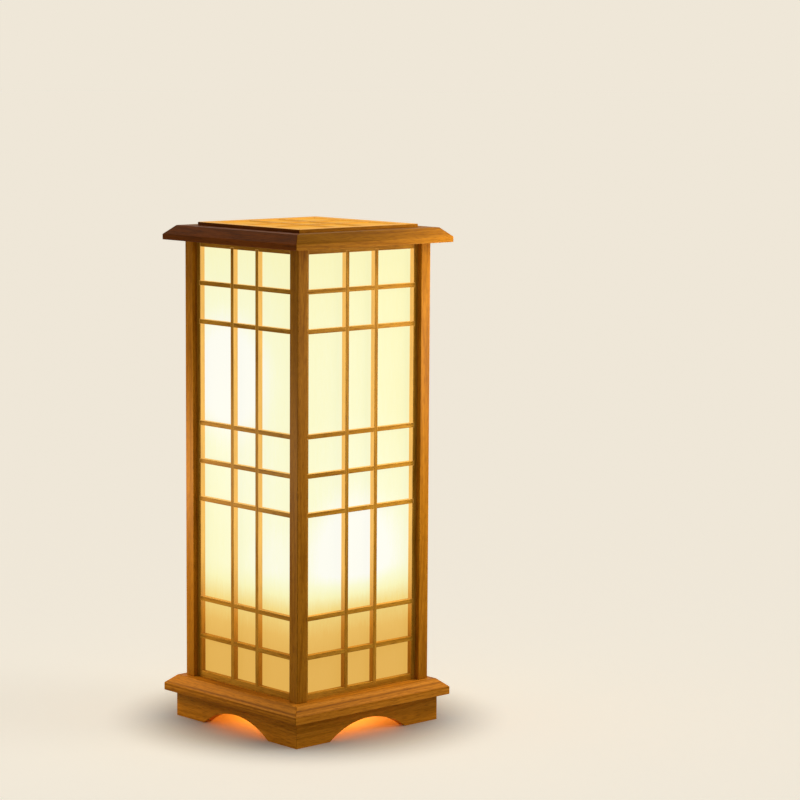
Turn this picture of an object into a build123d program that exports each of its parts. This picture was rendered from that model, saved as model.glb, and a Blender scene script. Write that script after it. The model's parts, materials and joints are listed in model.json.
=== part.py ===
"""Square andon lamp of solid wood, with paper panels and two bulbs.

Millimetres, +Z up. The origin is the centre of the footprint, on the surface it stands on.
The front is -Y. Sides are made once as the front one and turned about Z.
"""
import math
import os

from build123d import *

# ---- driving dimensions: body ----
BODY_WIDTH = 155.0          # outside of the posts
PANEL_HEIGHT = 396.0        # posts and panels, from base to cap

# ---- base ----
SKIRT_HEIGHT = 23.5
SKIRT_THICK = 9.0
SKIRT_PROUD = 6.3           # skirt beyond the posts
ARCH_HALF_SPAN = 45.0
ARCH_RISE = 15.0
BASE_RAIL_THICK = 14.5
BASE_EDGE_HEIGHT = 7.0      # square edge under the chamfer
MOULDING_PROUD = 14.5       # base and cap tips beyond the posts
LEDGE_PROUD = 5.7           # flat ledge beyond the posts, inside the chamfer
BASE_OPENING_INSET = 17.5   # rail's inner edge inside the body's outside
BLOCK_SIZE = 14.0
BLOCK_FLOOR_GAP = 3.5

# ---- base board ----
BOARD_THICK = 6.0
BOARD_LEDGE = 6.0           # width of the rebate it sits in
BOARD_CLEARANCE = 0.3
VENT_RADIUS = 8.0
VENT_INSET = 16.0           # ring of vents inside the board's seat
VENT_COUNT = 7              # round the front half

# ---- lattice panels ----
PANEL_RECESS = 4.4          # lattice behind the posts' faces
POST_BEHIND = 1.6           # post behind the lattice's back
BAR_WIDTH = 4.0
BAR_DEPTH = 5.0
STILE_WIDTH = 5.0
PANEL_RAIL_HEIGHT = 5.5
MUNTIN_SPACING = 34.0
SMALL_CELL = 30.4           # clear height of a small pane
HOUSING_DEPTH = 1.5         # bar ends let into the frame
PAPER_THICK = 0.6
PAPER_MARGIN = 0.3

# ---- cap and lid ----
CAP_THICK = 13.0
CAP_EDGE_HEIGHT = 5.0
CAP_OPENING_INSET = 13.5
LID_LAP = 5.5               # lid beyond the cap's opening
LID_THICK = 3.0
LID_RAIL_WIDTH = 11.0
LID_BAR_DEPTH = 1.2         # thin strips on the lid's paper
CLEAT_WIDTH = 3.5
CLEAT_HEIGHT = 6.0
CLEAT_CLEARANCE = 0.5

# ---- dowels and screws ----
DOWEL_RADIUS = 2.5
DOWEL_LENGTH = 16.0
PIN_CLEARANCE = 0.05
SCREW_RADIUS = 1.5
SCREW_HEAD_RADIUS = 2.8
SCREW_HEAD_HEIGHT = 1.8
BOARD_SCREW_LENGTH = 12.0
BOARD_SCREW_OFFSET = 40.0
RISER_SCREW_LENGTH = 16.0

# ---- lampholders and bulbs ----
HOLDER_WALL = 3.5           # outside the screw sleeve
HOLDER_HEIGHT = 44.0
FLANGE_WIDTH = 8.0
FLANGE_HEIGHT = 5.0
SOCKET_FLOOR = 14.0
CONTACT_RADIUS = 4.0
CONTACT_HEIGHT = 3.0
BULB_CAP_RADIUS = 13.2
BULB_TIP_HEIGHT = 2.0
SLEEVE_CLEARANCE = 0.4      # around the bulb's cap
SLEEVE_WALL = 0.8
SLEEVE_FIT = 0.1            # sleeve in the holder
BULB_RADIUS = 30.0
BULB_LENGTH = 108.0
GLASS_WALL = 1.0
LOWER_X, LOWER_Y = 6.0, -14.0

# ---- riser, wiring ----
BULB_TO_PAPER = 9.5         # upper bulb to the two papers it stands near
RISER_SIZE = 12.0
RISER_HEIGHT = 174.0
PLATE_MARGIN = 1.0          # shelf beyond the holder's flange
PLATE_THICK = 5.0
LEAD_RADIUS = 1.5
LEAD_GAP = 0.3
LEAD_BEND = 15.0
LOWER_LEAD_RUN = 6.0        # lower lead's last stretch, outside its holder
LOWER_LEAD_BEND = 6.0
LEAD_ENTRY = 1.0            # depth the lower lead reaches into its holder
TERMINAL_INSET = 5.0        # lower lead inside the terminal block's end
TERMINAL_LENGTH, TERMINAL_WIDTH, TERMINAL_HEIGHT = 26.0, 10.0, 10.0
CLIP_WIDTH, CLIP_LENGTH, CLIP_WALL = 8.0, 5.0, 1.2
CLIP_CLEARANCE = 0.15
RISER_CLIP_HEIGHT = 92.0    # above the board
LOWER_CLIP_Y = 5.0
GLAND_INSET = 18.0          # gland inside the board's seat, at the back
GLAND_RADIUS = 6.0
GLAND_FLANGE_RADIUS = 8.0
GLAND_FLANGE_HEIGHT = 2.0
GLAND_BORE_RADIUS = 3.5

# ---- worked out from the above ----
HALF = BODY_WIDTH / 2
BASE_TOP = SKIRT_HEIGHT + BASE_RAIL_THICK
CAP_BOTTOM = BASE_TOP + PANEL_HEIGHT
CAP_TOP = CAP_BOTTOM + CAP_THICK
TIP = HALF + MOULDING_PROUD
LEDGE = HALF + LEDGE_PROUD
SKIRT_HALF = HALF + SKIRT_PROUD
BASE_OPENING = HALF - BASE_OPENING_INSET
REBATE = BASE_OPENING + BOARD_LEDGE
BOARD_BOTTOM = BASE_TOP - BOARD_THICK
POST_SIZE = PANEL_RECESS + BAR_DEPTH + POST_BEHIND
POST_CENTRE = HALF - POST_SIZE / 2
PANEL_HALF = HALF - POST_SIZE
OPENING_HALF = PANEL_HALF - STILE_WIDTH
PANEL_FRONT = HALF - PANEL_RECESS
PANEL_BACK = PANEL_FRONT - BAR_DEPTH
LATTICE_BOTTOM = BASE_TOP + PANEL_RAIL_HEIGHT
LATTICE_TOP = CAP_BOTTOM - PANEL_RAIL_HEIGHT
CAP_OPENING = HALF - CAP_OPENING_INSET
LID_HALF = CAP_OPENING + LID_LAP
LID_INNER = LID_HALF - LID_RAIL_WIDTH
LID_TOP = CAP_TOP + LID_THICK
LID_PAPER_TOP = LID_TOP - LID_BAR_DEPTH
SLEEVE_INNER = BULB_CAP_RADIUS + SLEEVE_CLEARANCE
SLEEVE_OUTER = SLEEVE_INNER + SLEEVE_WALL
HOLDER_RADIUS = SLEEVE_OUTER + SLEEVE_FIT + HOLDER_WALL
FLANGE_RADIUS = HOLDER_RADIUS + FLANGE_WIDTH
FLANGE_SCREW_RADIUS = (HOLDER_RADIUS + FLANGE_RADIUS) / 2
RISER_OFFSET = PANEL_BACK - PAPER_THICK - BULB_TO_PAPER - BULB_RADIUS
RISER_X, RISER_Y = -RISER_OFFSET, RISER_OFFSET
PLATE_HALF = FLANGE_RADIUS + PLATE_MARGIN
PLATE_BOTTOM = BASE_TOP + RISER_HEIGHT
PLATE_TOP = PLATE_BOTTOM + PLATE_THICK
LEAD_Z = BASE_TOP + LEAD_RADIUS + LEAD_GAP
LOWER_LEAD_X = LOWER_X + FLANGE_RADIUS + LOWER_LEAD_RUN
BLOCK_X = LOWER_LEAD_X + TERMINAL_INSET - TERMINAL_LENGTH / 2
VENT_RING_RADIUS = REBATE - VENT_INSET
GLAND_Y = REBATE - GLAND_INSET
LEAD_RISE_X = RISER_X + RISER_SIZE / 2 + LEAD_RADIUS + LEAD_GAP
MUNTINS = (-MUNTIN_SPACING / 2, MUNTIN_SPACING / 2)
CORNERS = [(sx, sy) for sx in (-1, 1) for sy in (-1, 1)]
SIDES = ("front", "right", "back", "left")


def bar_heights():
    """Centres of the cross bars, top to bottom: panes go small-small-tall, three times over."""
    order = "sstsstss"
    clear = LATTICE_TOP - LATTICE_BOTTOM - (len(order) - 1) * BAR_WIDTH
    tall = (clear - order.count("s") * SMALL_CELL) / order.count("t")
    heights = []
    z = LATTICE_TOP
    for pane in order[:-1]:
        z -= SMALL_CELL if pane == "s" else tall
        heights.append(z - BAR_WIDTH / 2)
        z -= BAR_WIDTH
    return heights


def block(x0, x1, y0, y1, z0, z1):
    """A box between two opposite corners."""
    return Pos((x0 + x1) / 2, (y0 + y1) / 2, (z0 + z1) / 2) * Box(x1 - x0, y1 - y0, z1 - z0)


def rod(x, y, z0, z1, radius):
    """An upright cylinder."""
    return Pos(x, y, (z0 + z1) / 2) * Cylinder(radius, z1 - z0)


def turned(shape, side):
    """The front's piece, turned to another side."""
    return Rot(0, 0, 360 * SIDES.index(side) / len(SIDES)) * shape


def mitred(profile):
    """A rail along the front from a section of (distance from the centre, height), mitred."""
    reach = 2 * max(point[0] for point in profile)
    height = 2 * max(point[1] for point in profile)
    section = Plane.YZ * Polygon(*[(-out, z) for out, z in profile], align=None)
    rail = extrude(section, amount=reach, both=True)
    corner = Polygon((0, 0), (-reach, -reach), (reach, -reach), align=None)
    return rail & extrude(corner, amount=height, both=True)


def four_sides(shape):
    return [turned(shape, side) for side in SIDES]


def dowel_holes():
    radius = DOWEL_RADIUS + PIN_CLEARANCE
    half = DOWEL_LENGTH / 2
    return [
        rod(sx * POST_CENTRE, sy * POST_CENTRE, z - half, z + half, radius)
        for sx, sy in CORNERS
        for z in (BASE_TOP, CAP_BOTTOM)
    ]


def cut(shape, tools):
    for tool in tools:
        shape = shape - tool
    return shape


# ---- base ----
def skirt_board():
    board = mitred(
        [(SKIRT_HALF, 0), (SKIRT_HALF, SKIRT_HEIGHT),
         (SKIRT_HALF - SKIRT_THICK, SKIRT_HEIGHT), (SKIRT_HALF - SKIRT_THICK, 0)]
    )
    radius = (ARCH_HALF_SPAN**2 + ARCH_RISE**2) / (2 * ARCH_RISE)
    arch = Pos(0, -SKIRT_HALF, ARCH_RISE - radius) * Rot(90, 0, 0) * Cylinder(radius, 4 * SKIRT_THICK)
    return board - arch


def base_rail():
    return mitred(
        [(TIP, SKIRT_HEIGHT), (TIP, SKIRT_HEIGHT + BASE_EDGE_HEIGHT), (LEDGE, BASE_TOP),
         (REBATE, BASE_TOP), (REBATE, BOARD_BOTTOM), (BASE_OPENING, BOARD_BOTTOM),
         (BASE_OPENING, SKIRT_HEIGHT)]
    )


def corner_block(sx, sy):
    outer = SKIRT_HALF - SKIRT_THICK
    inner = outer - BLOCK_SIZE
    x0, x1 = sorted((sx * outer, sx * inner))
    y0, y1 = sorted((sy * outer, sy * inner))
    return block(x0, x1, y0, y1, BLOCK_FLOOR_GAP, SKIRT_HEIGHT)


def base_board():
    half = REBATE - BOARD_CLEARANCE
    board = block(-half, half, -half, half, BOARD_BOTTOM, BASE_TOP)
    for vent in range(VENT_COUNT):
        angle = math.pi * (1 + vent / (VENT_COUNT - 1))
        x = VENT_RING_RADIUS * math.cos(angle)
        y = VENT_RING_RADIUS * math.sin(angle)
        board = board - rod(x, y, BOARD_BOTTOM, BASE_TOP, VENT_RADIUS)
    return board - rod(0, GLAND_Y, BOARD_BOTTOM, BASE_TOP, GLAND_RADIUS + PIN_CLEARANCE)


# ---- lattice panels, made as the front one ----
def stiles():
    pieces = []
    for sx in (-1, 1):
        x0, x1 = sorted((sx * OPENING_HALF, sx * PANEL_HALF))
        stile = block(x0, x1, -PANEL_FRONT, -PANEL_BACK, BASE_TOP, CAP_BOTTOM)
        pieces.append(cut(stile, bar_blanks()))
    return pieces


def rails():
    pieces = []
    for z0 in (BASE_TOP, LATTICE_TOP):
        rail = block(-OPENING_HALF, OPENING_HALF, -PANEL_FRONT, -PANEL_BACK, z0, z0 + PANEL_RAIL_HEIGHT)
        pieces.append(cut(rail, muntin_blanks()))
    return pieces


def bar_blanks():
    reach = OPENING_HALF + HOUSING_DEPTH
    return [
        block(-reach, reach, -PANEL_FRONT, -PANEL_BACK, z - BAR_WIDTH / 2, z + BAR_WIDTH / 2)
        for z in bar_heights()
    ]


def muntin_blanks():
    return [
        block(x - BAR_WIDTH / 2, x + BAR_WIDTH / 2, -PANEL_FRONT, -PANEL_BACK,
              LATTICE_BOTTOM - HOUSING_DEPTH, LATTICE_TOP + HOUSING_DEPTH)
        for x in MUNTINS
    ]


def half_of_panel(front):
    """The front or back half of the lattice's depth, for the half-laps."""
    middle = -(PANEL_FRONT + PANEL_BACK) / 2
    y0, y1 = (-PANEL_FRONT, middle) if front else (middle, -PANEL_BACK)
    return block(-HALF, HALF, y0, y1, BASE_TOP, CAP_BOTTOM)


def muntins():
    back = half_of_panel(False)
    laps = [bar & back for bar in bar_blanks()]
    return [cut(muntin, laps) for muntin in muntin_blanks()]


def bars():
    front = half_of_panel(True)
    laps = [muntin & front for muntin in muntin_blanks()]
    return [cut(bar, laps) for bar in bar_blanks()]


def paper():
    half = PANEL_HALF - PAPER_MARGIN
    return block(-half, half, -PANEL_BACK, -PANEL_BACK + PAPER_THICK,
                 BASE_TOP + PAPER_MARGIN, CAP_BOTTOM - PAPER_MARGIN)


# ---- cap and lid ----
def cap_rail():
    return mitred(
        [(TIP, CAP_BOTTOM), (TIP, CAP_BOTTOM + CAP_EDGE_HEIGHT), (LEDGE, CAP_TOP),
         (CAP_OPENING, CAP_TOP), (CAP_OPENING, CAP_BOTTOM)]
    )


def lid_rail():
    return mitred([(LID_HALF, CAP_TOP), (LID_HALF, LID_TOP), (LID_INNER, LID_TOP), (LID_INNER, CAP_TOP)])


def lid_cleat():
    outer = CAP_OPENING - CLEAT_CLEARANCE
    inner = outer - CLEAT_WIDTH
    return mitred(
        [(outer, CAP_TOP - CLEAT_HEIGHT), (outer, CAP_TOP), (inner, CAP_TOP),
         (inner, CAP_TOP - CLEAT_HEIGHT)]
    )


def lid_bars(along_x):
    """Two strips on the paper, half-lapped with the two that cross them."""
    middle = (LID_PAPER_TOP + LID_TOP) / 2
    lap_low, lap_high = (LID_PAPER_TOP, middle) if along_x else (middle, LID_TOP)
    pieces = []
    for place in MUNTINS:
        bar = block(-LID_INNER, LID_INNER, place - BAR_WIDTH / 2, place + BAR_WIDTH / 2,
                    LID_PAPER_TOP, LID_TOP)
        for other in MUNTINS:
            bar = bar - block(other - BAR_WIDTH / 2, other + BAR_WIDTH / 2, -LID_HALF, LID_HALF,
                              lap_low, lap_high)
        pieces.append(bar if along_x else turned(bar, "right"))
    return pieces


def lid_paper():
    half = LID_INNER - PAPER_MARGIN
    return block(-half, half, -half, half, LID_PAPER_TOP - PAPER_THICK, LID_PAPER_TOP)


# ---- screws ----
def screw(x, y, seat, length, down=True):
    """A screw whose head sits on the height given by seat, and points down or up."""
    way = -1 if down else 1
    z0, z1 = sorted((seat, seat + way * length))
    h0, h1 = sorted((seat, seat - way * SCREW_HEAD_HEIGHT))
    return rod(x, y, z0, z1, SCREW_RADIUS) + rod(x, y, h0, h1, SCREW_HEAD_RADIUS)


def screw_hole(x, y, seat, length, down=True):
    way = -1 if down else 1
    z0, z1 = sorted((seat, seat + way * length))
    return rod(x, y, z0, z1, SCREW_RADIUS + PIN_CLEARANCE)


def holder_screw_places():
    places = []
    for x, y, seat in ((LOWER_X, LOWER_Y, BASE_TOP), (RISER_X, RISER_Y, PLATE_TOP)):
        for sx in (-1, 1):
            places.append((x + sx * FLANGE_SCREW_RADIUS, y, seat + FLANGE_HEIGHT,
                           FLANGE_HEIGHT + PLATE_THICK))
    return places


def board_screw_places():
    middle = BASE_OPENING + BOARD_LEDGE / 2
    return [(sx * middle, sy * BOARD_SCREW_OFFSET, BASE_TOP, BOARD_SCREW_LENGTH) for sx, sy in CORNERS]


PLATE_SCREW = (RISER_X, RISER_Y, PLATE_TOP - SCREW_HEAD_HEIGHT, RISER_SCREW_LENGTH)
FOOT_SCREW = (RISER_X, RISER_Y, BOARD_BOTTOM, RISER_SCREW_LENGTH, False)


def all_screws():
    return holder_screw_places() + board_screw_places() + [PLATE_SCREW, FOOT_SCREW]


# ---- lampholders and bulbs, made at the origin and then placed ----
def holder():
    body = rod(0, 0, 0, HOLDER_HEIGHT, HOLDER_RADIUS) + rod(0, 0, 0, FLANGE_HEIGHT, FLANGE_RADIUS)
    body = body - rod(0, 0, SOCKET_FLOOR, HOLDER_HEIGHT, SLEEVE_OUTER + SLEEVE_FIT)
    for sx in (-1, 1):
        body = body - screw_hole(sx * FLANGE_SCREW_RADIUS, 0, FLANGE_HEIGHT, FLANGE_HEIGHT)
    return body


def sleeve():
    outer = rod(0, 0, SOCKET_FLOOR, HOLDER_HEIGHT, SLEEVE_OUTER)
    return outer - rod(0, 0, SOCKET_FLOOR, HOLDER_HEIGHT, SLEEVE_INNER)


def contact():
    return rod(0, 0, SOCKET_FLOOR, SOCKET_FLOOR + CONTACT_HEIGHT, CONTACT_RADIUS)


def bulb_cap():
    tip = SOCKET_FLOOR + CONTACT_HEIGHT
    shell = rod(0, 0, tip + BULB_TIP_HEIGHT, HOLDER_HEIGHT, BULB_CAP_RADIUS)
    return shell + rod(0, 0, tip, tip + BULB_TIP_HEIGHT, CONTACT_RADIUS)


def bulb_form(neck, globe, low, centre):
    """A globe with a cone that leaves it in a smooth line and ends in a neck."""
    reach = math.hypot(neck, centre - low)
    lean = math.asin(globe / reach) - math.atan2(neck, centre - low)
    run = math.sqrt(reach**2 - globe**2)
    edge_r = neck + run * math.sin(lean)
    edge_z = low + run * math.cos(lean)
    height = edge_z - low
    cone = Pos(0, 0, low + height / 2) * Cone(neck, edge_r, height)
    return cone + Pos(0, 0, centre) * Sphere(globe)


def bulb_glass():
    low = HOLDER_HEIGHT
    centre = SOCKET_FLOOR + CONTACT_HEIGHT + BULB_LENGTH - BULB_RADIUS
    outer = bulb_form(BULB_CAP_RADIUS, BULB_RADIUS, low, centre)
    inner = bulb_form(BULB_CAP_RADIUS - GLASS_WALL, BULB_RADIUS - GLASS_WALL, low, centre)
    return outer - inner


def lower(shape):
    return Pos(LOWER_X, LOWER_Y, BASE_TOP) * shape


def upper(shape):
    return Pos(RISER_X, RISER_Y, PLATE_TOP) * shape


# ---- riser and wiring ----
def riser():
    half = RISER_SIZE / 2
    return block(RISER_X - half, RISER_X + half, RISER_Y - half, RISER_Y + half, BASE_TOP, PLATE_BOTTOM)


def riser_plate():
    half = PLATE_HALF
    plate = block(RISER_X - half, RISER_X + half, RISER_Y - half, RISER_Y + half, PLATE_BOTTOM, PLATE_TOP)
    recess = rod(RISER_X, RISER_Y, PLATE_TOP - SCREW_HEAD_HEIGHT, PLATE_TOP,
                 SCREW_HEAD_RADIUS + PIN_CLEARANCE)
    lead = rod(LEAD_RISE_X, RISER_Y, PLATE_BOTTOM, PLATE_TOP, LEAD_RADIUS + LEAD_GAP)
    return plate - recess - lead


def tube(points, bend):
    path = FilletPolyline(*points, radius=bend)
    section = Plane(origin=path @ 0, z_dir=path % 0) * Circle(LEAD_RADIUS)
    return sweep(section, path=path)


def upper_lead():
    start = BLOCK_X - TERMINAL_LENGTH / 2
    return tube([(start, RISER_Y, LEAD_Z), (LEAD_RISE_X, RISER_Y, LEAD_Z),
                 (LEAD_RISE_X, RISER_Y, PLATE_TOP)], LEAD_BEND)


def lower_lead():
    end = LOWER_X + FLANGE_RADIUS - LEAD_ENTRY
    return tube([(LOWER_LEAD_X, RISER_Y - TERMINAL_WIDTH / 2, LEAD_Z),
                 (LOWER_LEAD_X, LOWER_Y, LEAD_Z), (end, LOWER_Y, LEAD_Z)], LOWER_LEAD_BEND)


def lead_entry():
    """The hole in the lower holder's flange that the lead goes into."""
    end = LOWER_X + FLANGE_RADIUS
    return Pos(end, LOWER_Y, LEAD_Z) * Rot(0, 90, 0) * Cylinder(
        LEAD_RADIUS + CLIP_CLEARANCE, 2 * LEAD_ENTRY)


def terminal_block():
    half = TERMINAL_WIDTH / 2
    return block(BLOCK_X - TERMINAL_LENGTH / 2, BLOCK_X + TERMINAL_LENGTH / 2,
                 RISER_Y - half, RISER_Y + half, BASE_TOP, BASE_TOP + TERMINAL_HEIGHT)


def clip():
    """A saddle over a lead that lies along X, on a face at height 0."""
    slot = LEAD_RADIUS + CLIP_CLEARANCE
    centre = LEAD_RADIUS + LEAD_GAP
    top = centre + slot + CLIP_WALL
    body = block(-CLIP_LENGTH / 2, CLIP_LENGTH / 2, -CLIP_WIDTH / 2, CLIP_WIDTH / 2, 0, top)
    channel = Pos(0, 0, centre) * Rot(0, 90, 0) * Cylinder(slot, 2 * CLIP_LENGTH)
    return body - channel - block(-CLIP_LENGTH, CLIP_LENGTH, -slot, slot, 0, centre)


def lead_clips():
    board_clip = Pos(0, RISER_Y, BASE_TOP) * clip()
    lower_clip = Pos(LOWER_LEAD_X, LOWER_CLIP_Y, BASE_TOP) * Rot(0, 0, 90) * clip()
    riser_clip = (Pos(RISER_X + RISER_SIZE / 2, RISER_Y, BASE_TOP + RISER_CLIP_HEIGHT)
                  * Rot(0, 90, 0) * clip())
    return [board_clip, lower_clip, riser_clip]


def cord_gland():
    body = rod(0, GLAND_Y, BOARD_BOTTOM, BASE_TOP, GLAND_RADIUS)
    body = body + rod(0, GLAND_Y, BASE_TOP, BASE_TOP + GLAND_FLANGE_HEIGHT, GLAND_FLANGE_RADIUS)
    return body - rod(0, GLAND_Y, BOARD_BOTTOM, BASE_TOP + GLAND_FLANGE_HEIGHT, GLAND_BORE_RADIUS)


# ---- assembly ----
def assemble():
    nodes = {}
    holes = dowel_holes()
    board_holes = [screw_hole(*place) for place in board_screw_places()]
    for side in SIDES:
        nodes["skirt_" + side] = turned(skirt_board(), side)
        nodes["base_rail_" + side] = cut(turned(base_rail(), side), holes + board_holes)
        nodes["cap_rail_" + side] = cut(turned(cap_rail(), side), holes)
        for name, pieces in (("stiles", stiles()), ("rails", rails()),
                             ("muntins", muntins()), ("bars", bars())):
            nodes[f"panel_{side}_{name}"] = [turned(piece, side) for piece in pieces]
        nodes[f"panel_{side}_paper"] = turned(paper(), side)

    half = POST_SIZE / 2
    for sx, sy in CORNERS:
        name = f"post_{'front' if sy < 0 else 'back'}_{'left' if sx < 0 else 'right'}"
        x, y = sx * POST_CENTRE, sy * POST_CENTRE
        post = block(x - half, x + half, y - half, y + half, BASE_TOP, CAP_BOTTOM)
        nodes[name] = cut(post, holes)
    nodes["post_dowels"] = [
        rod(sx * POST_CENTRE, sy * POST_CENTRE, z - DOWEL_LENGTH / 2, z + DOWEL_LENGTH / 2, DOWEL_RADIUS)
        for sx, sy in CORNERS for z in (BASE_TOP, CAP_BOTTOM)
    ]

    nodes["corner_blocks"] = [corner_block(sx, sy) for sx, sy in CORNERS]
    nodes["base_board"] = cut(base_board(), [screw_hole(*place) for place in all_screws()])
    nodes["lid_rails"] = four_sides(lid_rail())
    nodes["lid_cleats"] = four_sides(lid_cleat())
    nodes["lid_bars_x"] = lid_bars(True)
    nodes["lid_bars_y"] = lid_bars(False)
    nodes["lid_paper"] = lid_paper()

    nodes["riser"] = cut(riser(), [screw_hole(*PLATE_SCREW), screw_hole(*FOOT_SCREW)])
    nodes["riser_plate"] = cut(riser_plate(), [screw_hole(*place) for place in all_screws()])
    for name, place in (("lower", lower), ("upper", upper)):
        nodes[name + "_holder"] = place(holder())
        nodes[name + "_bulb_cap"] = place(bulb_cap())
        nodes[name + "_bulb_glass"] = place(bulb_glass())
    nodes["lower_holder"] = nodes["lower_holder"] - lead_entry()
    nodes["holder_sleeves"] = [lower(sleeve()), upper(sleeve())]
    nodes["holder_contacts"] = [lower(contact()), upper(contact())]
    nodes["terminal_block"] = terminal_block()
    nodes["cord_gland"] = cord_gland()
    nodes["upper_lead"] = upper_lead()
    nodes["lower_lead"] = lower_lead()
    nodes["lead_clips"] = lead_clips()
    nodes["wood_screws"] = [screw(*place) for place in all_screws()]
    return nodes


def write(nodes):
    os.makedirs("parts", exist_ok=True)
    for name, shape in nodes.items():
        whole = Compound(children=list(shape)) if isinstance(shape, list) else shape
        export_step(whole, os.path.join("parts", name + ".step"))
        print(name)


write(assemble())
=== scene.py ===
"""A square andon lamp: varnished pine, lattice panels and lit paper."""
import json
import math

import bmesh
import bpy
from mathutils import Matrix, Vector


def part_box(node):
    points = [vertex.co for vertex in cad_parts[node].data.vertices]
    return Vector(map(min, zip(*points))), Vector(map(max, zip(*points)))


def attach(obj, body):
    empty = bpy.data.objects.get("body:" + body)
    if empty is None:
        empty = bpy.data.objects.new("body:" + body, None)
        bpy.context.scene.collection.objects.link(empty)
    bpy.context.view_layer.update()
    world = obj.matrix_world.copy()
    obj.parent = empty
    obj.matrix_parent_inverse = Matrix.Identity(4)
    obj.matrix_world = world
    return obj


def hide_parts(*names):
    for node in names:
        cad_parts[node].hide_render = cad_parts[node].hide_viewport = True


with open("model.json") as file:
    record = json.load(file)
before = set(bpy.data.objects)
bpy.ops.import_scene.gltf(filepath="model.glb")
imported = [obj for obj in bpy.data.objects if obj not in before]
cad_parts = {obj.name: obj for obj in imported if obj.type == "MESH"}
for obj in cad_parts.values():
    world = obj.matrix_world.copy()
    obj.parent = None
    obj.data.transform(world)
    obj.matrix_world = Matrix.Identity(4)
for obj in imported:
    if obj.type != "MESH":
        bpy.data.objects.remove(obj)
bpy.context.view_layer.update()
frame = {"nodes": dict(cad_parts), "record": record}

MM = 0.001
SIDES = ("front", "right", "back", "left")
GRAIN_ALONG = {"front": "x", "back": "x", "left": "y", "right": "y"}
OUTWARD = {"front": Vector((0, -1, 0)), "right": Vector((1, 0, 0)),
           "back": Vector((0, 1, 0)), "left": Vector((-1, 0, 0))}
BODY_OF = {
    node: body
    for body, nodes in frame["record"]["behaviour"]["bodies"].items()
    for node in nodes
}


# ---------------------------------------------------------------- materials
def linear(code):
    """An sRGB hex colour as the linear colour that the shader takes."""
    parts = [int(code[i:i + 2], 16) / 255 for i in (1, 3, 5)]
    return [p / 12.92 if p <= 0.04045 else ((p + 0.055) / 1.055) ** 2.4 for p in parts] + [1.0]


def add(tree, kind, inputs=None, stops=(), **settings):
    """One node, with its settings, a ramp's (position, hex) stops, and its inputs linked or set."""
    node = tree.nodes.new(kind)
    for name, value in settings.items():
        setattr(node, name, value)
    if stops:
        band = node.color_ramp.elements
        while len(band) < len(stops):
            band.new(0.5)
        for element, (place, code) in zip(band, stops):
            element.position = place
            element.color = linear(code)
    for socket, value in (inputs or {}).items():
        if isinstance(value, bpy.types.NodeSocket):
            tree.links.new(value, node.inputs[socket])
        else:
            node.inputs[socket].default_value = value
    return node


def blank(name):
    """A new material with its shader, ready for nodes."""
    material = bpy.data.materials.new(name)
    material.use_nodes = True
    tree = material.node_tree
    return material, tree, tree.nodes["Principled BSDF"]


def stretched(tree, along, across_mm, along_mm, shift=0.0):
    """Object coordinates in which one unit is a grain's width across and its length along."""
    scale = [1 / (across_mm * MM)] * 3
    scale["xyz".index(along)] = 1 / (along_mm * MM)
    coords = add(tree, "ShaderNodeTexCoord").outputs["Object"]
    return add(tree, "ShaderNodeMapping", {
        "Vector": coords, "Location": (shift, shift, shift), "Scale": scale}).outputs["Vector"]


RING_BAND_MM = 14.0      # how far one sweep of the growth rings reaches across a board
RING_RUN_MM = 260.0      # and along it
RING_COUNT = 7.0
STREAK_MM = 1.6
STREAK_RUN_MM = 90.0
PORE_MM = 0.5            # coarser than real pores, so that they show
PORE_RUN_MM = 9.0
PORE_DEPTH = 0.1 * MM
PORE_SHADE = [(0.30, "#C9C0B4"), (0.52, "#FFFFFF")]
DARK_GRAIN, MIDDLE_GRAIN, PALE_GRAIN = 0.38, 0.62, 0.95   # the grain's level at each full tone
SATIN_ROUGHNESS = (0.42, 0.58)
VARNISH_GLOSS = 0.08     # low, so that the wood shows its own colour
VARNISH_TINT = "#E0A050"     # amber, the varnish's own colour
MIX_A, MIX_B, MIX_RESULT = 6, 7, 2   # a Mix node's colour sockets, whose names repeat


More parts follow.
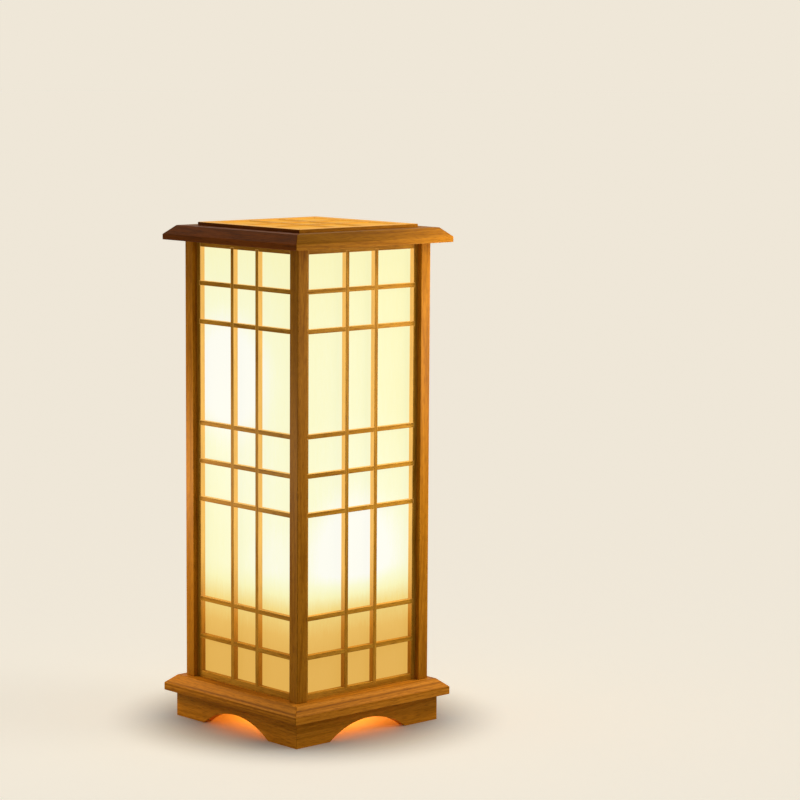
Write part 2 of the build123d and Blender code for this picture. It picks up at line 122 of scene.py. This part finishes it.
def varnished_pine(name, along, tones, shift, straightness):
    """Plain-sawn pine under satin varnish: dark late wood in long lines, fine pores, soft gloss."""
    material, tree, shader = blank(name)
    band = add(tree, "ShaderNodeTexNoise", {
        "Vector": stretched(tree, along, RING_BAND_MM, RING_RUN_MM * straightness, shift),
        "Scale": 1.0, "Detail": 1.5, "Roughness": 0.45}).outputs["Fac"]
    swept = add(tree, "ShaderNodeMath", {0: band, 1: RING_COUNT}, operation="MULTIPLY").outputs[0]
    rings = add(tree, "ShaderNodeMath", {0: swept, 1: 0.5}, operation="PINGPONG").outputs[0]
    streak = add(tree, "ShaderNodeTexNoise", {
        "Vector": stretched(tree, along, STREAK_MM, STREAK_RUN_MM * straightness, shift),
        "Scale": 1.0, "Detail": 3.0, "Roughness": 0.6}).outputs["Fac"]
    grain = add(tree, "ShaderNodeMath", {0: rings, 1: streak}, operation="ADD").outputs[0]
    pale, middle, dark = tones
    colour = add(tree, "ShaderNodeValToRGB", {"Fac": grain}, stops=[
        (DARK_GRAIN, dark), (MIDDLE_GRAIN, middle), (PALE_GRAIN, pale)]).outputs["Color"]
    pores = add(tree, "ShaderNodeTexNoise", {
        "Vector": stretched(tree, along, PORE_MM, PORE_RUN_MM, shift),
        "Scale": 1.0, "Detail": 2.0}).outputs["Fac"]
    shade = add(tree, "ShaderNodeValToRGB", {"Fac": pores}, stops=PORE_SHADE).outputs["Color"]
    mixed = add(tree, "ShaderNodeMix", {"Factor": 1.0, MIX_A: colour, MIX_B: shade},
                data_type="RGBA", blend_type="MULTIPLY").outputs[MIX_RESULT]
    tree.links.new(mixed, shader.inputs["Base Color"])
    relief = add(tree, "ShaderNodeBump", {
        "Height": pores, "Strength": 0.25, "Distance": PORE_DEPTH})
    tree.links.new(relief.outputs["Normal"], shader.inputs["Normal"])
    smooth, rough = SATIN_ROUGHNESS
    gloss = add(tree, "ShaderNodeMapRange", {"Value": streak, "To Min": smooth, "To Max": rough})
    tree.links.new(gloss.outputs["Result"], shader.inputs["Roughness"])
    shader.inputs["Specular IOR Level"].default_value = VARNISH_GLOSS
    shader.inputs["Specular Tint"].default_value = linear(VARNISH_TINT)
    return material


# Painted light: the light that the paper throws on the bars' sides, painted on as an emission glow,
# from the shaded base up.
SIDE_GLOW = [(0.0, "#4A2C08"), (0.35, "#94611F"), (1.0, "#CEA65C")]
SIDE_GLOW_LOW = 0.050
SIDE_GLOW_HIGH = 0.170


def paint_paper_light(material):
    """Pine close beside the paper, with the amber light that the paper throws on it painted on as
    emission.
    """
    tree = material.node_tree
    shader = tree.nodes["Principled BSDF"]
    coords = add(tree, "ShaderNodeTexCoord").outputs["Object"]
    height = add(tree, "ShaderNodeSeparateXYZ", {0: coords}).outputs["Z"]
    level = add(tree, "ShaderNodeMapRange", {
        "Value": height, "From Min": SIDE_GLOW_LOW, "From Max": SIDE_GLOW_HIGH},
        interpolation_type="SMOOTHSTEP").outputs["Result"]
    glow = add(tree, "ShaderNodeValToRGB", {"Fac": level}, stops=SIDE_GLOW).outputs["Color"]
    tree.links.new(glow, shader.inputs["Emission Color"])
    shader.inputs["Emission Strength"].default_value = 1.0
    return material


# Painted light: the lid's rails and strips glow amber as emission, as if lit through by the paper.
LID_PAINTED_GLOW = "#C8903A"
LID_RAIL_GLOW = 1.0
LID_STRIP_GLOW = 0.75    # less than the paper beside them, so that they stay visible


def paint_lid_glow(material, strength):
    """Pine of the lid, with the amber of the paper that it lies on painted on as a glow."""
    shader = material.node_tree.nodes["Principled BSDF"]
    shader.inputs["Emission Color"].default_value = linear(LID_PAINTED_GLOW)
    shader.inputs["Emission Strength"].default_value = strength
    return material


# Painted light on the paper, as emission: it is brightest beside each bulb, a tight white spot
# inside a wide pale one.
LOWER_GLOW = (-0.004, -0.034, 0.158)
UPPER_GLOW = (-0.032, 0.028, 0.315)
BULB_SKIN = 0.036        # the spots start here, measured from the bulb's centre
SPOTS = ((0.046, 0.22), (0.125, 0.22))   # how far each one reaches, and its strength
SPOT_CUT_LOW = 0.110     # the lower lampholder cuts its bulb's spot off below
SPOT_CUT_HIGH = 0.150
DIM_BELOW = 0.060        # the base shades the paper up to here
FULL_ABOVE = 0.152       # and no longer from here up
OPEN_LEVEL = 0.64        # of the paper above the base's shade, away from the bulbs
PAPER_GLOW = 0.95
PAPER_COLOUR = "#3E3A2C"     # dark, because nearly all that is seen of it is its own light
FIBRE_MM = 1.2
FIBRE_RUN_MM = 16.0
FIBRE_CLOUD = 0.08       # how much the fibres lift or lower the level
FIBRE_DEPTH = 0.15 * MM

PANEL_GLOW = [(0.0, "#E3B052"), (0.18, "#EABB5E"), (0.40, "#F4D983"), (0.62, "#FAF6BC"),
              (0.82, "#FBFCD6"), (1.0, "#FEFEF4")]
LID_GLOW = [(0.50, "#E6982C"), (0.62, "#F7B038"), (0.75, "#EFA834"), (1.0, "#F2B244")]


def lit_paper(name, along, stops):
    """Handmade paper with its light from behind painted on: cream, white near a bulb, amber in the
    base's painted shade.
    """
    material, tree, shader = blank(name)
    coords = add(tree, "ShaderNodeTexCoord").outputs["Object"]
    height = add(tree, "ShaderNodeSeparateXYZ", {0: coords}).outputs["Z"]
    level = add(tree, "ShaderNodeMapRange", {
        "Value": height, "From Min": DIM_BELOW, "From Max": FULL_ABOVE,
        "To Min": 0.0, "To Max": OPEN_LEVEL}, interpolation_type="SMOOTHSTEP").outputs["Result"]
    above = add(tree, "ShaderNodeMapRange", {
        "Value": height, "From Min": SPOT_CUT_LOW, "From Max": SPOT_CUT_HIGH},
        interpolation_type="SMOOTHSTEP").outputs["Result"]
    for centre in (LOWER_GLOW, UPPER_GLOW):
        away = add(tree, "ShaderNodeVectorMath", {0: coords, 1: centre},
                   operation="DISTANCE").outputs["Value"]
        for reach, strength in SPOTS:
            near = add(tree, "ShaderNodeMapRange", {
                "Value": away, "From Min": BULB_SKIN, "From Max": BULB_SKIN + reach,
                "To Min": strength, "To Max": 0.0},
                interpolation_type="SMOOTHSTEP").outputs["Result"]
            level = add(tree, "ShaderNodeMath", {0: near, 1: above, 2: level},
                        operation="MULTIPLY_ADD").outputs[0]
    fibres = add(tree, "ShaderNodeTexNoise", {
        "Vector": stretched(tree, along, FIBRE_MM, FIBRE_RUN_MM),
        "Scale": 1.0, "Detail": 4.0, "Distortion": 1.5}).outputs["Fac"]
    cloud = add(tree, "ShaderNodeMapRange", {
        "Value": fibres, "To Min": -FIBRE_CLOUD, "To Max": FIBRE_CLOUD}).outputs["Result"]
    level = add(tree, "ShaderNodeMath", {0: level, 1: cloud},
                operation="ADD", use_clamp=True).outputs[0]
    glow = add(tree, "ShaderNodeValToRGB", {"Fac": level}, stops=stops).outputs["Color"]
    tree.links.new(glow, shader.inputs["Emission Color"])
    shader.inputs["Emission Strength"].default_value = PAPER_GLOW
    shader.inputs["Base Color"].default_value = linear(PAPER_COLOUR)
    shader.inputs["Roughness"].default_value = 0.85
    shader.inputs["Specular IOR Level"].default_value = 0.15
    relief = add(tree, "ShaderNodeBump", {
        "Height": fibres, "Strength": 0.3, "Distance": FIBRE_DEPTH})
    tree.links.new(relief.outputs["Normal"], shader.inputs["Normal"])
    return material


GRIT_DEPTH = 0.1 * MM
DARK_GRIT, PALE_GRIT = 0.3, 0.6


def plain_stuff(name, code, dark_code, grit_mm, roughness, metallic=0.0, coat=0.0):
    """A moulded, glazed or turned surface with a faint unevenness of colour and relief."""
    material, tree, shader = blank(name)
    coords = add(tree, "ShaderNodeTexCoord").outputs["Object"]
    grit = add(tree, "ShaderNodeTexNoise", {
        "Vector": coords, "Scale": 1 / (grit_mm * MM), "Detail": 3.0}).outputs["Fac"]
    colour = add(tree, "ShaderNodeValToRGB", {"Fac": grit}, stops=[
        (DARK_GRIT, dark_code), (PALE_GRIT, code)]).outputs["Color"]
    tree.links.new(colour, shader.inputs["Base Color"])
    shader.inputs["Roughness"].default_value = roughness
    shader.inputs["Metallic"].default_value = metallic
    shader.inputs["Coat Weight"].default_value = coat
    bump = add(tree, "ShaderNodeBump", {"Height": grit, "Strength": 0.05, "Distance": GRIT_DEPTH})
    tree.links.new(bump.outputs["Normal"], shader.inputs["Normal"])
    return material


BULB_GLOW = 0.55


def frosted_glass():
    """Frosted glass lit from inside: milky and warm, with no hard shine."""
    material = plain_stuff("frosted_glass", "#BEB49E", "#B4A88E", 5.0, 0.55)
    shader = material.node_tree.nodes["Principled BSDF"]
    shader.inputs["Emission Color"].default_value = linear("#FFF0CC")
    shader.inputs["Emission Strength"].default_value = BULB_GLOW
    return material


# Each family of boards: the axes that its grain runs along, its pale, middle and dark tone, how
# far its pattern is shifted, and how many times longer than usual its lines run.
BOARDS = {
    "frame": ("xyz", ("#B37619", "#A56A10", "#945C0B"), 0.0, 1.0),
    # a little darker: painted shade on the near post
    "near_post": ("z", ("#A86F17", "#9B640F", "#8B560A"), 0.0, 1.0),
    # darker red-brown: painted shade on the left boards, the cap rail's and the lid rail's, as if
    # in shadow
    "deep": ("y", ("#874305", "#753A03", "#643003"), 6.4, 1.0),
    "skirt": ("xy", ("#CC8522", "#C07B1A", "#B07014"), 3.7, 1.0),
    # straight-grained, so that its lines stand out
    "rail": ("xy", ("#C78225", "#A96A12", "#855008"), 3.7, 4.0),
    "lattice": ("xyz", ("#BE8A2C", "#AE7A20", "#9A6A16"), 8.1, 1.0),
    # pale wood without the stain, inside the lamp and under it
    "bare": ("xz", ("#E3C692", "#D0AC72", "#B99660"), 5.3, 1.0),
}
PINE = {
    (family, along): varnished_pine(
        f"varnished_pine_{family}_{along}", along, tones, shift, straightness)
    for family, (axes, tones, shift, straightness) in BOARDS.items()
    for along in axes
}


def lattice_pine(name, along):
    """Pine like the lattice's, for a surface that gets the paper's light painted on."""
    _, tones, shift, straightness = BOARDS["lattice"]
    return varnished_pine(f"{name}_{along}", along, tones, shift, straightness)


# the bars' sides, with the paper's light painted on as a glow
PAPER_LIGHT_PAINTED_PINE = {along: paint_paper_light(lattice_pine("warmed_pine", along)) for along in "xyz"}
LID_RAIL_PINE = {
    along: paint_lid_glow(lattice_pine("lid_rail_pine", along), LID_RAIL_GLOW) for along in "xy"}
LID_STRIP_PINE = {
    along: paint_lid_glow(lattice_pine("lid_strip_pine", along), LID_STRIP_GLOW) for along in "xy"}
PAPER = lit_paper("lit_mulberry_paper", "z", PANEL_GLOW)
LID_PAPER = lit_paper("lit_lid_paper", "x", LID_GLOW)
# Slip-cast and glazed: warm white with a wet shine.
CERAMIC = plain_stuff("glazed_porcelain", "#EFEBE0", "#E2DCCC", 6.0, 0.18, coat=0.5)
# Pressed from sheet: a yellow metal, slightly dull.
BRASS = plain_stuff("pressed_brass", "#C9A04E", "#A87F36", 3.0, 0.35, metallic=1.0)
# Rolled into rounds: a pale grey metal with soft highlights.
ALUMINIUM = plain_stuff("rolled_aluminium", "#C6C7C9", "#A8A9AC", 2.0, 0.38, metallic=1.0)
# Moulded: cream, with a waxy sheen.
NYLON = plain_stuff("moulded_nylon", "#DDD6C4", "#CFC7B2", 1.5, 0.45)
# Drawn over the wires: smooth ivory.
PVC = plain_stuff("pvc_sheath", "#E6E0CC", "#D8D0B8", 4.0, 0.4)
# Plated: a cool grey metal, faintly mottled.
STEEL = plain_stuff("zinc_plated_steel", "#B4B6BA", "#94969B", 1.0, 0.4, metallic=1.0)
BULB_GLASS = frosted_glass()


# ---------------------------------------------------------------- pieces
SAME_POINT = 0.001 * MM


def stand_for(piece, node):
    """The piece takes the CAD node's place and body."""
    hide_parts(node)
    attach(piece, BODY_OF[node])
    return piece


def as_piece(shape, name, materials):
    """The finished shape as an object with its materials."""
    mesh = bpy.data.meshes.new(name)
    shape.to_mesh(mesh)
    shape.free()
    piece = bpy.data.objects.new(name, mesh)
    bpy.context.scene.collection.objects.link(piece)
    for material in materials:
        mesh.materials.append(material)
    return piece


def solid_of(node):
    """A copy of a CAD node's mesh, ready to be worked on."""
    shape = bmesh.new()
    shape.from_mesh(frame["nodes"][node].data)
    shape.normal_update()
    return shape


BOARD_EASE = 0.35 * MM   # how far each kind of piece has its edges sanded off
FRAME_EASE = 0.5 * MM
LATTICE_EASE = 0.25 * MM
STRIP_EASE = 0.2 * MM
SHARP_ANGLE = math.radians(25)
FLAT_ANGLE = math.radians(1)
FACET_LENGTH = 0.5 * MM  # only the facets round a drilled hole are shorter


def ease_edges(shape, width):
    """Joins a solid's loose triangles, then takes its sharp edges off, up to its drilled holes."""
    bmesh.ops.remove_doubles(shape, verts=shape.verts, dist=SAME_POINT)
    bmesh.ops.dissolve_limit(shape, angle_limit=FLAT_ANGLE, verts=shape.verts, edges=shape.edges)
    rims = {vert for edge in shape.edges if edge.calc_length() < FACET_LENGTH
            for vert in edge.verts}
    sharp = [edge for edge in shape.edges
             if len(edge.link_faces) == 2 and edge.calc_face_angle() > SHARP_ANGLE
             and rims.isdisjoint(edge.verts)]
    bmesh.ops.bevel(shape, geom=sharp, offset=width, offset_type="OFFSET", affect="EDGES",
                    segments=2, profile=0.5, material=-1, clamp_overlap=True)


def eased_board(node, finish, width=BOARD_EASE):
    """A planed piece of wood with its edges sanded off."""
    shape = solid_of(node)
    ease_edges(shape, width)
    return stand_for(as_piece(shape, "wood_" + node, [finish]), node)


SIDEWAYS = 0.5           # a face that points outwards by less than this is a bar's side
SQUARE_ON = 0.9          # a lid rail's face that points up or inwards by more than this gets the painted glow


def eased_lattice(node, side, along):
    """Bars of one panel: the faces beside the panes get the paper's light painted on."""
    shape = solid_of(node)
    for face in shape.faces:
        face.material_index = int(abs(face.normal.dot(OUTWARD[side])) < SIDEWAYS)
    ease_edges(shape, LATTICE_EASE)
    # the second finish has the paper's light painted on
    finishes = [PINE["lattice", along], PAPER_LIGHT_PAINTED_PINE[along]]
    return stand_for(as_piece(shape, "wood_" + node, finishes), node)


def side_of(face):
    """The side of a square ring that a face belongs to, told just inside its surface."""
    point = face.calc_center_median() - face.normal * MM
    if abs(point.x) > abs(point.y):
        return "right" if point.x > 0 else "left"
    return "back" if point.y > 0 else "front"


def lid_frame(node):
    """Four mitred rails in one node, each with its own grain, with a painted glow on top and
    towards the paper.
    """
    finishes = [PINE["frame", "x"], PINE["frame", "y"], PINE["deep", "y"],
                LID_RAIL_PINE["x"], LID_RAIL_PINE["y"]]
    joined = bmesh.new()
    for side in SIDES:
        along = GRAIN_ALONG[side]
        # the left rail's outer faces get the darker tone of painted shade
        outer = PINE["deep" if side == "left" else "frame", along]
        rail = solid_of(node)
        others = [face for face in rail.faces if side_of(face) != side]
        bmesh.ops.delete(rail, geom=others, context="FACES")
        ease_edges(rail, BOARD_EASE)
        for face in rail.faces:
            lit = face.normal.z > SQUARE_ON or face.normal.dot(OUTWARD[side]) < -SQUARE_ON
            face.material_index = finishes.index(LID_RAIL_PINE[along] if lit else outer)
        scratch = bpy.data.meshes.new("rail")
        rail.to_mesh(scratch)
        rail.free()
        joined.from_mesh(scratch)
        bpy.data.meshes.remove(scratch)
    return stand_for(as_piece(joined, "wood_" + node, finishes), node)


def build_wood():
    """Every board, bar and strip that shows."""
    for side in SIDES:
        along = GRAIN_ALONG[side]
        # the left cap rail gets the darker tone of painted shade
        cap = "deep" if side == "left" else "frame"
        eased_board("skirt_" + side, PINE["skirt", along])
        eased_board("base_rail_" + side, PINE["rail", along], FRAME_EASE)
        eased_board("cap_rail_" + side, PINE[cap, along], FRAME_EASE)
        for part, grain in (("stiles", "z"), ("muntins", "z"), ("rails", along), ("bars", along)):
            eased_lattice(f"panel_{side}_{part}", side, grain)
    for corner in ("front_left", "front_right", "back_left", "back_right"):
        # the near post gets a darker tone of painted shade
        post = "near_post" if corner == "front_left" else "frame"
        eased_board("post_" + corner, PINE[post, "z"], FRAME_EASE)
    lid_frame("lid_rails")
    for along in "xy":
        eased_board("lid_bars_" + along, LID_STRIP_PINE[along], STRIP_EASE)


def finish_nodes():
    """The pieces that keep their solid's own mesh take only a material."""
    for material, nodes in (
            (PAPER, [f"panel_{side}_paper" for side in SIDES]),
            (LID_PAPER, ["lid_paper"]),
            (PINE["bare", "z"], ["corner_blocks", "riser", "post_dowels"]),
            (PINE["bare", "x"], ["base_board", "riser_plate", "lid_cleats"]),
            (CERAMIC, ["lower_holder", "upper_holder"]),
            (BRASS, ["holder_sleeves", "holder_contacts"]),
            (NYLON, ["terminal_block", "cord_gland", "lead_clips"]),
            (PVC, ["upper_lead", "lower_lead"]),
            (STEEL, ["wood_screws"])):
        for node in nodes:
            mesh = frame["nodes"][node].data
            mesh.materials.clear()
            mesh.materials.append(material)


TURN_STEPS = 64


def turned_piece(node, name, profile, centre, material):
    """A round piece spun from (radius, height) points about an upright axis."""
    shape = bmesh.new()
    line = [shape.verts.new((radius, 0, height)) for radius, height in profile]
    edges = [shape.edges.new(pair) for pair in zip(line, line[1:])]
    bmesh.ops.spin(shape, geom=line + edges, axis=(0, 0, 1), cent=(0, 0, 0),
                   angle=2 * math.pi, steps=TURN_STEPS, use_merge=True)
    bmesh.ops.remove_doubles(shape, verts=shape.verts, dist=SAME_POINT)
    bmesh.ops.recalc_face_normals(shape, faces=shape.faces)
    bmesh.ops.transform(shape, matrix=Matrix.Translation(centre), verts=shape.verts)
    for face in shape.faces:
        face.smooth = True
    return stand_for(as_piece(shape, name, [material]), node)


GLASS_WALL = 1.0 * MM
GLOBE_STEPS = 24


def bulb_outline(low, high, neck, globe):
    """A globe that runs into a neck, from the neck's foot up to the top."""
    centre = high - globe
    reach = math.hypot(neck, centre - low)
    lean = math.asin(globe / reach) - math.atan2(neck, centre - low)
    turns = [-lean + (math.pi / 2 + lean) * step / GLOBE_STEPS for step in range(GLOBE_STEPS)]
    arc = [(globe * math.cos(turn), centre + globe * math.sin(turn)) for turn in turns]
    return [(neck, low)] + arc + [(0.0, high)]


def glass_shell_outline(low, high, neck, globe):
    """The bulb's thin wall: down its inside, over the neck's rim and up its outside."""
    inside = bulb_outline(low, high - GLASS_WALL, neck - GLASS_WALL, globe - GLASS_WALL)
    return inside[::-1] + bulb_outline(low, high, neck, globe)


CONTACT_RADIUS = 4.0 * MM
INSULATOR_HEIGHT = 2.0 * MM
THREAD_TURNS = 5
THREAD_DEPTH = 0.5 * MM


def threaded_cap_outline(low, high, shell):
    """A lamp cap: its contact and insulator, then rolled rounds like a thread's."""
    shell_low = low + INSULATOR_HEIGHT
    root = shell - THREAD_DEPTH
    pitch = (high - shell_low) / (THREAD_TURNS + 1)
    rounds = []
    for turn in range(THREAD_TURNS):
        foot = shell_low + pitch * (turn + 0.5)
        rounds += [(root, foot), (shell, foot + pitch * 0.5)]
    return ([(0.0, low), (CONTACT_RADIUS, low), (CONTACT_RADIUS, shell_low), (root, shell_low)]
            + rounds + [(root, high), (0.0, high)])


def fit_bulb(which):
    """One bulb: frosted globe and threaded cap, each in its solid's place."""
    glass_low, glass_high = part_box(which + "_bulb_glass")
    cap_low, cap_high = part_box(which + "_bulb_cap")
    centre = (glass_low + glass_high) / 2
    axis = (centre.x, centre.y, 0)
    globe = (glass_high.x - glass_low.x) / 2
    shell = (cap_high.x - cap_low.x) / 2
    turned_piece(which + "_bulb_glass", f"frosted_globe_{which}",
                 glass_shell_outline(glass_low.z, glass_high.z, shell, globe), axis, BULB_GLASS)
    turned_piece(which + "_bulb_cap", f"threaded_cap_{which}",
                 threaded_cap_outline(cap_low.z, cap_high.z, shell), axis, ALUMINIUM)


# ---------------------------------------------------------------- stage, light, camera
FLOOR_RADIUS = 40.0
FLOOR_COLOUR = "#EDEAE3"
FLOOR_LIFT = 0.61        # of the backdrop's colour, added to the floor where it is seen
LIFT_FROM = 0.088        # but not under the lamp, where its own glow and shadow lie; the fade also leaves a darker band round it, a painted contact shadow
LIFT_FULL = 0.190
FOOT_GAP = 0.1 * MM      # only a foot is so close above the floor: light from below may reach it
BACKDROP_COLOUR = "#EFE7D8"
SKY_COLOUR = "#FFFAF1"
SKY_LEVEL = 0.34


def seen_directly(tree):
    """1 on a ray from the camera, off a gloss or through glass, and 0 on light for the lamp."""
    path = add(tree, "ShaderNodeLightPath").outputs
    either = add(tree, "ShaderNodeMath", {0: path["Is Camera Ray"], 1: path["Is Glossy Ray"]},
                 operation="MAXIMUM").outputs[0]
    return add(tree, "ShaderNodeMath", {0: either, 1: path["Is Transmission Ray"]},
               operation="MAXIMUM").outputs[0]


def lay_floor():
    """A round pale floor that is clear from below, so that the lamp's underside shows."""
    shape = bmesh.new()
    bmesh.ops.create_circle(shape, cap_ends=True, segments=96, radius=FLOOR_RADIUS)
    material, tree, shader = blank("pale_floor")
    shader.inputs["Base Color"].default_value = linear(FLOOR_COLOUR)
    shader.inputs["Roughness"].default_value = 0.9
    shader.inputs["Specular IOR Level"].default_value = 0.0
    coords = add(tree, "ShaderNodeTexCoord").outputs["Object"]
    away = add(tree, "ShaderNodeVectorMath", {0: coords}, operation="LENGTH").outputs["Value"]
    lift = add(tree, "ShaderNodeMapRange", {
        "Value": away, "From Min": LIFT_FROM, "From Max": LIFT_FULL, "To Max": FLOOR_LIFT},
        interpolation_type="SMOOTHSTEP").outputs["Result"]
    seen_lift = add(tree, "ShaderNodeMath", {0: lift, 1: seen_directly(tree)},
                    operation="MULTIPLY").outputs[0]
    tree.links.new(seen_lift, shader.inputs["Emission Strength"])
    shader.inputs["Emission Color"].default_value = linear(BACKDROP_COLOUR)
    below = add(tree, "ShaderNodeNewGeometry").outputs["Backfacing"]
    travelled = add(tree, "ShaderNodeLightPath").outputs["Ray Length"]
    under_a_foot = add(tree, "ShaderNodeMath", {0: travelled, 1: FOOT_GAP},
                       operation="LESS_THAN").outputs[0]
    open_share = add(tree, "ShaderNodeMath", {0: below, 1: under_a_foot},
                     operation="MAXIMUM").outputs[0]
    clear = add(tree, "ShaderNodeBsdfTransparent").outputs[0]
    one_sided = add(tree, "ShaderNodeMixShader", {0: open_share, 1: shader.outputs[0], 2: clear})
    tree.links.new(one_sided.outputs[0], tree.nodes["Material Output"].inputs["Surface"])
    as_piece(shape, "floor", [material])


def set_world():
    """A soft sky that lights the lamp, and a pale backdrop where the sky itself is seen."""
    world = bpy.data.worlds.new("studio")
    bpy.context.scene.world = world
    world.use_nodes = True
    tree = world.node_tree
    tree.nodes.clear()
    light = add(tree, "ShaderNodeBackground", {
        "Color": linear(SKY_COLOUR), "Strength": SKY_LEVEL}).outputs[0]
    backdrop = add(tree, "ShaderNodeBackground", {
        "Color": linear(BACKDROP_COLOUR), "Strength": 1.0}).outputs[0]
    mix = add(tree, "ShaderNodeMixShader", {0: seen_directly(tree), 1: light, 2: backdrop})
    add(tree, "ShaderNodeOutputWorld", {"Surface": mix.outputs[0]})


def place_light(data, code, place, target):
    """Hangs a light at its place and turns it to its target."""
    data.color = linear(code)[:3]
    lamp = bpy.data.objects.new(data.name, data)
    lamp.location = place
    lamp.rotation_euler = (Vector(target) - Vector(place)).to_track_quat("-Z", "Y").to_euler()
    bpy.context.scene.collection.objects.link(lamp)
    return lamp


def distant_light(name, code, place, strength, softness):
    """An even light from far off, so that the floor is lit alike all over."""
    data = bpy.data.lights.new(name, "SUN")
    data.energy = strength
    data.angle = math.radians(softness)
    return place_light(data, code, place, (0, 0, 0))


def area_light(name, code, place, target, size, watts):
    """A soft square light near the lamp."""
    data = bpy.data.lights.new(name, "AREA")
    data.size = size
    data.energy = watts
    return place_light(data, code, place, target)


# The near washes: name, colour, place, target, size, watts, and the pieces that each leaves out.
WASHES = (
    ("right_wash", "#FFEED0", (0.27, -0.20, 0.31), (0.06, -0.07, 0.24), 0.14, 1.40, ()),
    ("cap_wash", "#FFEED0", (0.17, -0.17, 0.50), (0.07, -0.08, 0.44), 0.10, 0.30, ()),
    ("left_wash", "#FFE6B8", (-0.19, 0.22, 0.19), (-0.07, 0.06, 0.20), 0.12, 0.68,
     ("wood_cap_rail_left",)),
)


def light_scene(pieces):
    """Even light for all, a glow below, and washes that light the lamp and not the floor."""
    distant_light("key", "#FFF9F0", place=(0.85, -1.0, 0.95), strength=0.30, softness=28)
    area_light("glow_under_base", "#FF9828", place=(0, 0, 0.0285), target=(0, 0, 0),
               size=0.10, watts=0.095)
    for *wash_settings, left_out in WASHES:
        wash = area_light(*wash_settings)
        receivers = bpy.data.collections.new(wash.name + "_receivers")
        for piece in pieces:
            if piece.name not in left_out:
                receivers.objects.link(piece)
        wash.light_linking.receiver_collection = receivers


# The camera's place in the lamp's frame, and where it points, in metres and radians.
CAMERA_PLACE = (-1.6045, -1.8604, 0.6008)
CAMERA_HEADING = 0.82526
CAMERA_PITCH = -0.12533
CAMERA_ROLL = 0.00648
FOCAL_PIXELS = 2757.7
FRAME_PIXELS = 800
SENSOR_MM = 36.0


def set_camera():
    """The camera, turned from its heading, pitch and roll."""
    ahead = Vector((math.cos(CAMERA_PITCH) * math.cos(CAMERA_HEADING),
                    math.cos(CAMERA_PITCH) * math.sin(CAMERA_HEADING), math.sin(CAMERA_PITCH)))
    right = ahead.cross(Vector((0, 0, 1))).normalized()
    up = right.cross(ahead)
    turned_right = math.cos(CAMERA_ROLL) * right + math.sin(CAMERA_ROLL) * up
    turned_up = math.cos(CAMERA_ROLL) * up - math.sin(CAMERA_ROLL) * right
    data = bpy.data.cameras.new("camera")
    data.sensor_width = SENSOR_MM
    data.lens = FOCAL_PIXELS / FRAME_PIXELS * SENSOR_MM
    camera = bpy.data.objects.new("camera", data)
    turn = Matrix((turned_right, turned_up, -ahead)).transposed().to_4x4()
    camera.matrix_world = Matrix.Translation(CAMERA_PLACE) @ turn
    bpy.context.scene.collection.objects.link(camera)
    bpy.context.scene.camera = camera


build_wood()
finish_nodes()
for which in ("lower", "upper"):
    fit_bulb(which)
lamp_pieces = [thing for thing in bpy.data.objects if thing.type == "MESH"]
lay_floor()
set_world()
light_scene(lamp_pieces)
set_camera()
bpy.context.scene.view_settings.view_transform = "Standard"
